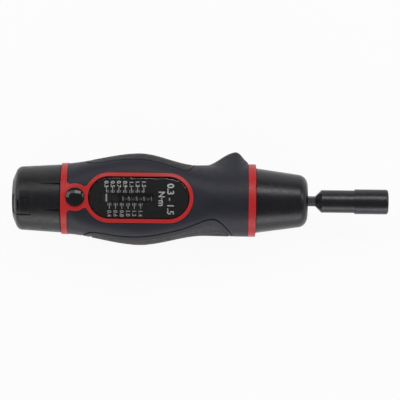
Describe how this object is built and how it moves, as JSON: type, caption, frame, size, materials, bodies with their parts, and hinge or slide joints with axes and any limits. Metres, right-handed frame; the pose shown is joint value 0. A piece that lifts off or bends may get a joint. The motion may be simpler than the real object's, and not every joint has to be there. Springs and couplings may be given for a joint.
{
  "type": "torque screwdriver",
  "caption": "Adjustable torque screwdriver with a rubber grip, a window scale, a rear setting knob with a lock button, and a nut setter in its nose.",
  "frame": {"origin": "centre of the nut socket's mouth, on the drive axis", "axes": "+X along the drive axis out of the tip, +Z out of the scale window, +Y towards the side with the anti-roll lobe"},
  "size_m": [0.1704, 0.0427, 0.0351],
  "materials": {
    "red_plastic": "satin moulded red nylon",
    "grip_rubber": "soft matt overmoulded black rubber",
    "black_plastic": "semi-gloss moulded black nylon",
    "button_plastic": "polished black",
    "clear_window": "polished clear polycarbonate",
    "scale_black": "matt black plate with white print",
    "white_paint": "matt white",
    "setter_steel": "blackened steel",
    "machined_steel": "turned steel",
    "bearing_steel": "polished hardened steel",
    "spring_steel": "drawn spring steel",
    "bush_bronze": "sintered bronze",
    "magnet": "nickel-plated magnet"
  },
  "bodies": {
    "handle": {"handle_core": "red_plastic", "handle_grip": "grip_rubber", "badge_low": "red_plastic", "badge_high": "red_plastic", "window_lens": "clear_window", "scale_plate": "scale_black", "nose_cap": "black_plastic", "nose_seal": "grip_rubber", "front_bush": "bush_bronze", "thrust_race_front": "bearing_steel", "thrust_race_rear": "bearing_steel", "thrust_cage": "bush_bronze", "thrust_balls": "bearing_steel", "screw_washer": "bush_bronze", "main_spring": "spring_steel", "button_spring": "spring_steel"},
    "drive": {"spindle": "machined_steel", "spindle_magnet": "magnet", "nut_setter": "setter_steel", "setter_magnet": "magnet"},
    "clutch": {"clutch_plate": "machined_steel", "clutch_balls": "bearing_steel", "spring_washer": "bearing_steel"},
    "adjuster": {"adjuster_nut": "black_plastic", "indicator_line": "white_paint"},
    "setting_knob": {"knob": "black_plastic", "knob_cap": "black_plastic", "knob_screw": "machined_steel", "lead_screw": "machined_steel", "lock_ring": "machined_steel"},
    "button": {"lock_button": "button_plastic", "lock_pin": "machined_steel", "pin_clip": "spring_steel"}
  },
  "joints": [
    {"name": "knob_turn", "type": "hinge", "parent": "handle", "child": "setting_knob", "pos_m": [-0.16, 0, 0], "axis": [1, 0, 0], "range_deg": [0, 4320]},
    {"name": "nut_travel", "type": "slide", "parent": "handle", "child": "adjuster", "axis": [1, 0, 0], "range_m": [0, 0.0168], "deforming": ["main_spring"]},
    {"name": "button_press", "type": "slide", "parent": "handle", "child": "button", "axis": [0, 0, -1], "range_m": [0, 0.0016], "stiffness_N_per_m": 300, "springref_m": -0.001, "deforming": ["button_spring"]},
    {"name": "spindle_turn", "type": "hinge", "parent": "handle", "child": "drive", "pos_m": [-0.06, 0, 0], "axis": [1, 0, 0], "continuous": true},
    {"name": "clutch_lift", "type": "slide", "parent": "handle", "child": "clutch", "axis": [-1, 0, 0], "range_m": [0, 0.0012], "stiffness_N_per_m": 3470, "springref_m": -0.0042}
  ],
  "couplings": [
    {"joint": "knob_turn", "follows": "nut_travel", "rad_per_m": 4488}
  ]
}
